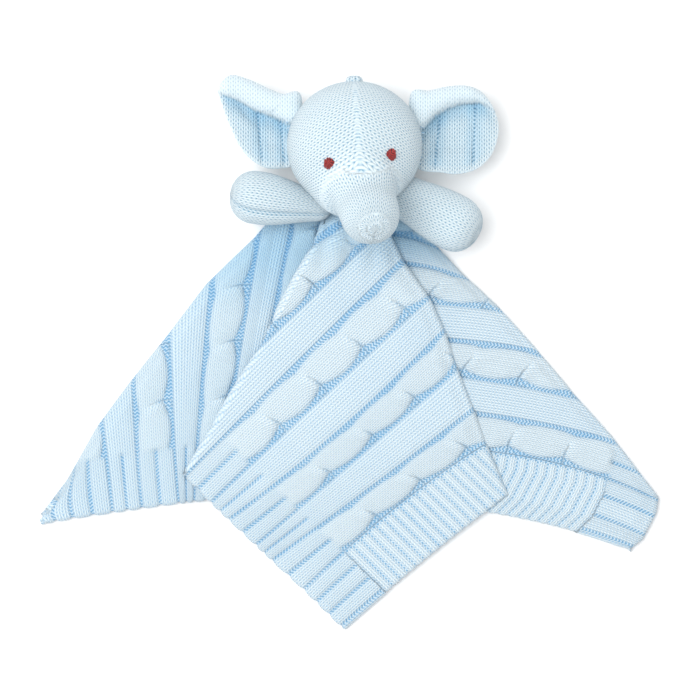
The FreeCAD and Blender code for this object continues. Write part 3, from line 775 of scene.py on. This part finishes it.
def trunk_marks(points):
    """Stitches of the trunk: rows run round it and close up on its end, with half as many there."""
    along, out, angle = trunk_coordinates(points)
    round_end = np.arctan2(out, along - TRUNK_LENGTH) * TRUNK_TIP_RADIUS
    row = np.where(along > TRUNK_LENGTH, round_end,
                   math.pi / 2.0 * TRUNK_TIP_RADIUS + TRUNK_LENGTH - along)
    at_end = along > TRUNK_LENGTH
    count = np.where(at_end & (out < TRUNK_CLOSING), TRUNK_STITCHES / 2.0, TRUNK_STITCHES)
    count = np.where(at_end & (out < TRUNK_CLOSING / 2.0), TRUNK_STITCHES / 4.0, count)
    step_down = groove(out - TRUNK_CLOSING, 0.6) + groove(out - TRUNK_CLOSING / 2.0, 0.5)
    calm = np.maximum(0.7 * step_down * at_end, 0.8 * (1.0 - smooth(out / 1.8)) * at_end)
    return angle / (2.0 * math.pi) * count, row / SKIN_ROW, np.zeros(len(points)), calm


def make_head_skin(material):
    """Head, muzzle and trunk in one knitted skin."""
    tip = TRUNK_ROOT + TRUNK_AXIS * TRUNK_LENGTH
    start = TRUNK_ROOT - TRUNK_AXIS * 16.0
    parts = [ball_object("head_ball", HEAD, HEAD_RADII),
             ball_object("muzzle_ball", MUZZLE, MUZZLE_RADII),
             tapered_object("trunk_tube", start, tip, TRUNK_ROOT_RADIUS, TRUNK_TIP_RADIUS),
             tapered_object("trunk_bridge_tube", BRIDGE_START, tip - TRUNK_AXIS * 9.0,
                            BRIDGE_RADIUS, TRUNK_TIP_RADIUS - 0.5)]
    skin = merged_skin("head_skin", parts)
    points = mesh_points(skin)
    along, out, _ = trunk_coordinates(points)
    from_top = 97.0 + 0.02 * (points[:, 0] - 8.0) ** 2 - points[:, 1]
    from_side = TRUNK_ROOT_RADIUS + 5.0 - out
    past_border = np.minimum(np.minimum(from_top, from_side), along + 2.0)
    sides = [head_marks(points), trunk_marks(points)]
    wale, row, shade, calm = (np.where(past_border > 0.0, trunk, head) for head, trunk in zip(*sides))
    calm = np.maximum(calm, 0.85 * groove(past_border, 1.0))
    finish_mesh(skin.data, material, wale=wale, row=row, shade=shade, calm=calm)
    start = TRUNK_ROOT - TRUNK_AXIS * 2.0
    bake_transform(skin)
    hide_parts("head_face", "head_back", "head_stuffing",
                "trunk_bridge", "trunk_underside", "trunk_stuffing")
    return skin


# ---- ears

LEFT_EAR = {
    "centre": (-50.0, 133.0),
    "outline": [(-30, 112), (-40, 106), (-51, 107), (-62.5, 116), (-69.5, 129), (-74.5, 142),
                (-77, 153.5), (-70.5, 161), (-60, 159), (-48, 153.5), (-39, 150), (-28, 148.5)],
    "fold_line": [(-78, 151), (-65, 146), (-56, 140.5), (-45, 136.5), (-36, 132), (-26, 129)],
    "creases": [((-54.0, 139.0), (-51.0, 107.0)), ((-40.5, 135.0), (-38.0, 107.0))]}
RIGHT_EAR = {
    "centre": (60.0, 128.0),
    "outline": [(36, 112), (42, 105), (53.5, 103.5), (64, 102.5), (76, 106), (84.5, 115),
                (88.2, 128), (86.5, 139), (79.5, 150), (70.5, 154.5), (59, 154.5), (47.5, 152),
                (36, 149)],
    "fold_line": [(34, 124), (44.5, 130), (51, 137), (58, 141.2), (66, 143.8), (76, 144.6),
                  (82, 142.5), (90, 136)],
    "creases": [((53.5, 136.0), (50.5, 106.0)), ((74.5, 143.0), (73.0, 108.0))]}
EAR_FLOOR = 21.5
EAR_BACK = 17.5
EAR_FOLD_BASE = 24.0  # height at which the folded edge begins
EAR_FOLD_HEIGHT = 8.0
EAR_FOLD_WIDTH = 9.0  # a fold narrower than this is lower in proportion
EAR_CUP = 3.4  # how far the ear curls up towards its rim
EAR_HOLLOW = 2.6  # how far it sinks under the folded edge
EAR_PUFF = 1.5  # how far its wadding swells between rim and middle
CREASE_DEPTH = 1.3
CREASE_WIDTH = 1.4
EAR_RIM_RADIUS = 1.9
EAR_WALE = 2.9
EAR_ROW = 2.4


def closed_curve(corners, count):
    """A smooth closed curve through corner points, as count evenly spaced steps."""
    corners = np.array(corners, float)
    total = len(corners)
    places = np.arange(count) / count * total
    base = np.floor(places).astype(int)
    t = (places - base)[:, None]
    before, here, after, beyond = (corners[(base + k) % total] for k in (-1, 0, 1, 2))
    return 0.5 * (2.0 * here + (after - before) * t
                  + (2.0 * before - 5.0 * here + 4.0 * after - beyond) * t ** 2
                  + (3.0 * here - before - 3.0 * after + beyond) * t ** 3)


def segment_distance(x, y, start, end):
    start = np.array(start)
    line = np.array(end) - start
    t = np.clip(((x - start[0]) * line[0] + (y - start[1]) * line[1]) / (line @ line), 0.0, 1.0)
    return np.hypot(x - start[0] - t * line[0], y - start[1] - t * line[1])


def make_ear(side, shape, material):
    """A cupped ear whose top edge folds forward over the hollow."""
    rim = closed_curve(shape["outline"], 220)
    centre = np.array(shape["centre"])
    spokes = rim - centre
    reach = np.linalg.norm(spokes, axis=1)
    share = np.concatenate([np.linspace(0.0, 0.5, 22), np.linspace(0.5, 1.0, 44)[1:]])[:, None]
    x = centre[0] + share * spokes[None, :, 0]
    y = centre[1] + share * spokes[None, :, 1]
    from_rim = reach[None, :] * (1.0 - share)
    line = np.array(shape["fold_line"], float)
    above = 0.9 * (y - np.interp(x, line[:, 0], line[:, 1]))
    in_fold = above > 0.0
    both = np.maximum(above, 0.0) + from_rim
    arch = 2.0 * np.sqrt(np.maximum(above, 0.0) * from_rim) / np.maximum(both, 1e-6)
    thick = np.minimum(1.0, both / EAR_FOLD_WIDTH)
    fold = EAR_FOLD_BASE + EAR_FOLD_HEIGHT * thick * arch ** 0.8 + 1.2 * arch
    rim_round = np.sqrt(np.maximum(EAR_RIM_RADIUS ** 2 - (from_rim - EAR_RIM_RADIUS) ** 2, 0.0))
    near_rim = from_rim < EAR_RIM_RADIUS
    under = smooth(1.0 + above / 11.0)
    dish = EAR_FLOOR + EAR_CUP * share ** 2.5 - EAR_HOLLOW * under
    puff = EAR_PUFF * np.sin(np.clip((from_rim - 1.0) / 15.0, 0.0, 1.0) * math.pi)
    dish = dish + np.where(in_fold, 0.0, puff)
    for crease in shape["creases"]:
        dish = dish - CREASE_DEPTH * groove(segment_distance(x, y, *crease), CREASE_WIDTH)
    dish = np.where(near_rim, dish - EAR_RIM_RADIUS + rim_round, dish)
    top = np.where(in_fold, np.maximum(fold, dish), dish)
    back = np.minimum(EAR_BACK + 4.0 * share ** 3 + 2.0 * (1.0 - share), dish - 1.5)
    back = np.where(share >= 1.0, top, back)
    points = np.stack([[x, x], [y, y], [top, back]], axis=-1)
    # painted shade: the hollow is darker under the folded edge, the creases are painted as dark lines, and
    # shade is painted beside them
    hollow = ~in_fold * smooth((from_rim - 1.0) / 5.0)
    painted_shade = hollow * (0.20 + 0.55 * under)
    rim_calm = 0.7 * (1.0 - smooth(from_rim / 1.6))
    shade = 0.0 * under
    for crease in shape["creases"]:
        apart = segment_distance(x, y, *crease)
        shade = np.maximum(shade, 0.95 * groove(apart, 0.75) * hollow)
        painted_shade = painted_shade + 0.3 * groove(apart - 2.5, 2.5) * hollow
    faces = ring_faces(len(share), len(rim), inward=True)
    faces = np.concatenate([faces, faces[:, ::-1] + x.size])
    marks = {"wale": points[..., 0] / EAR_WALE,
             "row": points[..., 1] / EAR_ROW,
             "shade": [shade, 0.0 * shade],
             "painted_shade": [painted_shade, 0.0 * painted_shade],
             "calm": [np.maximum(0.45 * in_fold, rim_calm), rim_calm]}
    ear = mesh_piece(side + "_ear", points, faces, marks, material)
    layers = (side + "_ear_" + layer for layer in ("front", "wadding", "back"))
    dress(ear, side + "_ear", "fine_knit", *layers)


# ---- arms

LEFT_ARM = {"root": (-10.0, 82.5, 17.5), "turn": math.radians(172.5), "tip_half": (15.6, 14.0),
            "root_half": 8.0, "seam_turn": math.radians(52.5)}
RIGHT_ARM = {"root": (22.0, 95.5, 17.5), "turn": math.radians(-29.0), "tip_half": (17.0, 14.5),
             "root_half": 12.0, "seam_turn": 0.0}
ARM_LENGTH = 46.0  # from an arm's root to the widest place
ARM_PITCH = math.radians(11.0)
ARM_END = 9.0  # length over which the root's end closes
ARM_RINGS = 64
ARM_AROUND = 96
SEAM_DEPTH = 0.10  # how far an arm's seam sinks in, as a share of the arm's thickness
SEAM_WIDTH = 0.13  # half its width, as the sine of an angle
SIMULATED_FRAMES = 20
PRESSURE = 4.0
MOST_SWELLING = 2.5


def inflate(piece, sewn):
    """Blows a closed skin up by cloth simulation; no point moves further than MOST_SWELLING.

    sewn marks the points of the seams, which stay where they are."""
    group = piece.vertex_groups.new(name="sewn")
    group.add(np.flatnonzero(sewn).tolist(), 1.0, "REPLACE")
    cloth = piece.modifiers.new("inflate", "CLOTH")
    cloth.settings.vertex_group_mass = group.name
    cloth.settings.use_pressure = True
    cloth.settings.uniform_pressure_force = PRESSURE
    cloth.settings.effector_weights.gravity = 0.0
    cloth.point_cache.frame_end = SIMULATED_FRAMES
    for frame_number in range(1, SIMULATED_FRAMES + 1):
        bpy.context.scene.frame_set(frame_number)
    before = mesh_points(piece)
    shift = mesh_points(piece.evaluated_get(bpy.context.evaluated_depsgraph_get())) - before
    distance = np.linalg.norm(shift, axis=1, keepdims=True)
    shift = shift * np.minimum(1.0, MOST_SWELLING / np.maximum(distance, 1e-9))
    piece.modifiers.remove(cloth)
    piece.vertex_groups.remove(group)
    bpy.context.scene.frame_set(1)
    piece.data.vertices.foreach_set("co", ((before + shift) * MM).ravel())
    piece.data.update()


def make_arm(side, shape, material):
    """A stuffed bag of two panels with a sunken seam along both sides."""
    tip_half, tip_thick = shape["tip_half"]
    root_half = shape["root_half"]
    reach, angle = ring_places(ARM_RINGS, ARM_AROUND, 0.0, ARM_LENGTH + tip_half)
    to_tip = np.clip((reach - ARM_LENGTH) / tip_half, 0.0, 1.0)
    widen = root_half + (tip_half - root_half) * smooth(reach / (ARM_LENGTH * 0.95))
    to_root = np.clip(1.0 - reach / ARM_END, 0.0, 1.0)
    close = np.sqrt(np.clip(1.0 - to_tip ** 2.3, 0.0, 1.0)) * np.sqrt(1.0 - to_root ** 2)
    half = widen * np.maximum(close, 0.02)
    thick = half * tip_thick / tip_half
    from_seam = (angle - shape["seam_turn"] + math.pi) % (2.0 * math.pi) - math.pi
    seam = groove(np.sin(from_seam), SEAM_WIDTH)
    squeeze = 1.0 - SEAM_DEPTH * seam
    b = half * np.cos(angle) * squeeze
    c = thick * np.sign(np.sin(angle)) * np.abs(np.sin(angle)) ** 0.92 * squeeze
    turn = shape["turn"]
    forward = np.array([math.cos(turn) * math.cos(ARM_PITCH), math.sin(turn) * math.cos(ARM_PITCH),
                        math.sin(ARM_PITCH)])
    sideways = np.array([-math.sin(turn), math.cos(turn), 0.0])
    upward = np.cross(forward, sideways)
    points = (np.array(shape["root"]) + reach[..., None] * forward + b[..., None] * sideways
              + c[..., None] * upward)
    # the shade mark paints shade into the sunken seam
    marks = {"wale": np.abs(from_seam) * tip_half / SKIN_WALE, "row": reach / SKIN_ROW,
             "shade": 0.5 * seam}
    arm = mesh_piece(side + "_arm", points, ring_faces(ARM_RINGS, ARM_AROUND), marks, material)
    inflate(arm, np.abs(np.sin(from_seam)).ravel() < 0.05)
    layers = (side + "_arm_" + layer for layer in ("upper_panel", "lower_panel", "stuffing"))
    dress(arm, side + "_arm", "fine_knit", *layers)


# ---- eyes, knot, neck and seams

EYES = {"left": (-11.2, 104.6), "right": (24.6, 110.2)}
EYE_SIZE = {"left": (3.3, 3.2), "right": (2.6, 3.4)}
SATIN_STITCH = [(1.0, -1.0, -1.2), (1.1, -0.7, 1.3), (0.9, 0.7, 1.6), (1.0, 1.0, -1.2)]
CROSS_STITCH = [(-0.8, -0.55, -0.6), (-0.4, -0.3, 2.6), (0.4, 0.3, 2.6), (0.8, 0.55, -0.6)]
EYE_YARN = 0.75  # radii of the yarns
SEWING_YARN = 0.5
WINDING_YARN = 0.6
KNOT_RADIUS = 4.1
KNOT_RINGS = 24
KNOT_AROUND = 48
KNOT_PLEATS = 7
NECK_RADIUS = 5.2
NECK_FLARE = 2.2  # how much wider the neck is at both ends
NECK_HALF = 7.5  # half its length
NECK_PLEATS = 15
NECK_RINGS = 24
NECK_AROUND = 120
WINDING_RADIUS = 6.3
STITCH_RISE = 1.2


def yarn_tube(name, routes, radius, material, body, slot, node_name):
    """Short lengths of yarn along routes, each a list of points, as one mesh piece."""
    curve = bpy.data.curves.new(name + "_line", "CURVE")
    curve.dimensions = "3D"
    curve.bevel_depth = radius * MM
    curve.bevel_resolution = 3
    curve.resolution_u = 6
    curve.use_fill_caps = True
    for route in routes:
        spline = curve.splines.new("NURBS")
        spline.points.add(len(route) - 1)
        for point, place in zip(spline.points, route):
            point.co = (*(np.array(place) * MM), 1.0)
        spline.order_u = 3
        spline.use_endpoint_u = True
    line = new_object(name + "_line", curve)
    bpy.context.view_layer.update()
    mesh = bpy.data.meshes.new_from_object(line.evaluated_get(bpy.context.evaluated_depsgraph_get()))
    bpy.data.objects.remove(line)
    mesh.name = name
    mesh.materials.clear()
    finish_mesh(mesh, material)
    dress(new_object(name, mesh), body, slot, node_name)


def surface_height(skin, x, y):
    """Height of the highest point of the skin at x, y."""
    hit, where, _, _ = skin.ray_cast(Vector((x * MM, y * MM, 0.2)), Vector((0.0, 0.0, -1.0)))
    if not hit:
        raise RuntimeError(f"no skin at {x}, {y}")
    return where.z / MM


def make_eye(side, skin, material):
    """An embroidered eye: a small knot of satin stitches, and two loose cross stitches."""
    x, y = EYES[side]
    wide, tall = EYE_SIZE[side]
    base = surface_height(skin, x, y)
    routes = []
    for place in np.linspace(-0.8, 0.8, 5):
        half = tall * math.sqrt(1.0 - place ** 2)
        routes.append([(x + wide * place * a, y + half * b, base + c) for a, b, c in SATIN_STITCH])
    for lean in (-1.0, 1.0):
        routes.append([(x + wide * a, y + lean * tall * b, base + c) for a, b, c in CROSS_STITCH])
    yarn_tube(side + "_eye_knot", routes, EYE_YARN, material, "head", "eye_thread", side + "_eye")


def make_crown_knot(material):
    """The puckered nub where the head's knitting is drawn together."""
    low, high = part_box("crown_knot")
    centre = (np.array(low) + np.array(high)) / 2.0 / MM - [0.0, 2.6, 2.0]
    tilt, angle = ring_places(KNOT_RINGS, KNOT_AROUND, 0.0, math.pi)
    pleats = 1.0 + 0.09 * np.cos(KNOT_PLEATS * angle) * np.sin(tilt)
    radius = KNOT_RADIUS * (pleats - 0.25 * groove(tilt, 0.35))
    points = np.stack([centre[0] + 1.15 * radius * np.sin(tilt) * np.cos(angle),
                       centre[1] + 0.8 * radius * np.cos(tilt),
                       centre[2] + radius * np.sin(tilt) * np.sin(angle)], axis=2)
    # the shade mark paints shade between the pleats
    marks = {"wale": angle * KNOT_PLEATS / (2.0 * math.pi), "row": tilt * 1.6,
             "shade": 0.125 * (1.0 - np.cos(KNOT_PLEATS * angle))}
    knot = mesh_piece("crown_nub", points, ring_faces(KNOT_RINGS, KNOT_AROUND), marks, material)
    dress(knot, "head", "fine_knit", "crown_knot")


def make_neck(rib, yarn):
    """The gathered neck, its pleats drawn in where the yarn is wound round it."""
    low, high = (np.array(corner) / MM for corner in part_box("neck_gather"))
    centre = (low + high) / 2.0
    t, angle = ring_places(NECK_RINGS, NECK_AROUND, -1.0, 1.0)
    radius = NECK_RADIUS + NECK_FLARE * t ** 2 + 0.45 * np.cos(NECK_PLEATS * angle)
    points = np.stack([centre[0] + radius * np.cos(angle), centre[1] + NECK_HALF * t,
                       centre[2] + radius * np.sin(angle)], axis=2)
    points[..., 2] = np.maximum(points[..., 2], 5.0)
    # the shade mark paints shade between the pleats
    marks = {"wale": angle * NECK_PLEATS / (2.0 * math.pi), "row": t * 3.6,
             "shade": 0.3 * (1.0 - np.cos(NECK_PLEATS * angle))}
    faces = ring_faces(NECK_RINGS, NECK_AROUND, inward=True)
    neck = mesh_piece("neck_pleats", points, faces, marks, rib)
    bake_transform(neck)
    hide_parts("neck_gather")
    turns = np.linspace(0.0, 6.0 * math.pi, 60)
    winding = [(centre[0] + WINDING_RADIUS * math.cos(a), centre[1] - 1.6 + 1.1 * a / (2.0 * math.pi),
                max(centre[2] + WINDING_RADIUS * math.sin(a), 5.5)) for a in turns]
    yarn_tube("neck_winding", [winding], WINDING_YARN, yarn, "neck", "sewing_yarn", "neck_thread")


def stitch_route(middle, across):
    """One sewing stitch: a short arch of yarn over a seam."""
    across = np.array(across)
    top = np.array([0.0, 0.0, STITCH_RISE])
    return [middle - across, middle - across * 0.5 + top, middle + across * 0.5 + top, middle + across]


def make_seam(name, start, end, count, across, body, yarn):
    """A row of sewing stitches from start to end."""
    start, end = np.array(start, float), np.array(end, float)
    routes = [stitch_route(start + (end - start) * t, across) for t in np.linspace(0.0, 1.0, count)]
    yarn_tube(name + "_yarn", routes, SEWING_YARN, yarn, body, "sewing_yarn", name)


def make_seams(yarn):
    for name, start, end, count, across, body in (
            ("left_ear_stitches", (-33.5, 112.0, 27.0), (-35.5, 140.0, 28.5), 9, (1.8, 0.4, 0.0), "head"),
            ("right_ear_stitches", (40.5, 109.0, 27.0), (43.0, 137.0, 28.5), 9, (1.8, -0.4, 0.0), "head"),
            ("left_arm_stitches", (-33.0, 80.0, 9.0), (-21.0, 81.0, 9.5), 5, (0.4, 1.6, 0.0), "blanket"),
            ("right_arm_stitches", (31.0, 82.0, 9.5), (41.0, 76.0, 9.0), 5, (0.4, 1.6, 0.0), "blanket"),
            ("neck_stitches", (-3.0, 74.0, 9.5), (13.0, 74.0, 9.5), 6, (0.3, 1.8, 0.0), "blanket")):
        make_seam(name, start, end, count, across, body, yarn)


# ---- the layer folded under

UNDER_LINES = [
    (0.0, (-10, -146.5), (-4, -148), (3, -146.5)),
    (58.0, (-84, -80), (-4, -84), (85, -88)),
    (60.0, (-176, -97), (-4, -86), (163, -111)),
    (66.0, (-173, -92), (-4, -80), (180, -88)),
    (100.0, (-150, -47), (-2, -46), (150, -48)),
    (150.0, (-109, 3), (0, 4), (108, 1)),
    (190.0, (-82, 38), (0, 40), (80, 32)),
    (222.0, (-51, 66), (0, 72), (48, 62)),
    (240.0, (-30, 84), (0, 88), (36, 82))]

UNDER_HEIGHT = 3.6
UNDER_START = 34.0  # distance of its first row from the hem
UNDER_RELIEF = 0.35  # share of the knitting's relief that is left when pressed flat
BACK_HEM_START = (-5.0, -148.0)       # the hem whose side band is folded under
BACK_HEM_WAY = (-0.809, 0.588)
BACK_HEM_LENGTH = 103.0


def make_under_layer(cable_knit, rib_knit):
    """The blanket's back half, folded under the rest with the left side band; its edges show."""
    hem = (1.6, 3.0, 0.6)
    points, marks = cloth_grid(UNDER_LINES, (0.0, 240.0), lambda q: np.full_like(q, UNDER_START),
                               lambda x, y: np.full_like(x, UNDER_HEIGHT), hem, hem, hem, None,
                               cell=2.0 * CELL)
    away_x = points[..., 0] - BACK_HEM_START[0]
    away_y = points[..., 1] - BACK_HEM_START[1]
    from_hem = away_x * BACK_HEM_WAY[1] - away_y * BACK_HEM_WAY[0]
    along_hem = away_x * BACK_HEM_WAY[0] + away_y * BACK_HEM_WAY[1]
    in_band = (from_hem < BORDER) & (along_hem > 0.0) & (along_hem < BACK_HEM_LENGTH)
    marks["q"] = np.where(in_band, np.clip(from_hem, 0.0, BORDER - 0.1), marks["q"] + BORDER + 0.5)
    marks["u"] = np.where(in_band, along_hem + BORDER + 1.0, marks["u"])
    marks["depth"] = marks["depth"] * UNDER_RELIEF
    sheet, band = knitted_sheet("under_layer", "under_layer_side_band", (points, marks), cable_knit,
                                rib_knit)
    dress(sheet, "blanket", "cable_knit", "blanket_panel")
    dress(band, "blanket", "rib_knit", "left_side_band")


make_camera()
make_stage()
cable_knit = yarn_material("cable_knit")
rib_knit = yarn_material("rib_knit", contrast=1.15)
fine_knit = yarn_material("fine_knit", relief_depth=1.1, lit=FINE_LIT, deep=GREY_DEEP, holes=0.92)
make_blanket(cable_knit, rib_knit)
make_under_layer(cable_knit, rib_knit)
skin = make_head_skin(fine_knit)
eye_thread = thread_material("eye_thread", (0.46, 0.030, 0.025, 1.0), (0.06, 0.008, 0.012, 1.0))
sewing_yarn = thread_material("sewing_yarn", LIT, DEEP)
make_eye("left", skin, eye_thread)
make_eye("right", skin, eye_thread)
make_crown_knot(fine_knit)
make_neck(rib_knit, sewing_yarn)
make_seams(sewing_yarn)
make_ear("left", LEFT_EAR, fine_knit)
make_ear("right", RIGHT_EAR, fine_knit)
make_arm("left", LEFT_ARM, fine_knit)
make_arm("right", RIGHT_ARM, fine_knit)
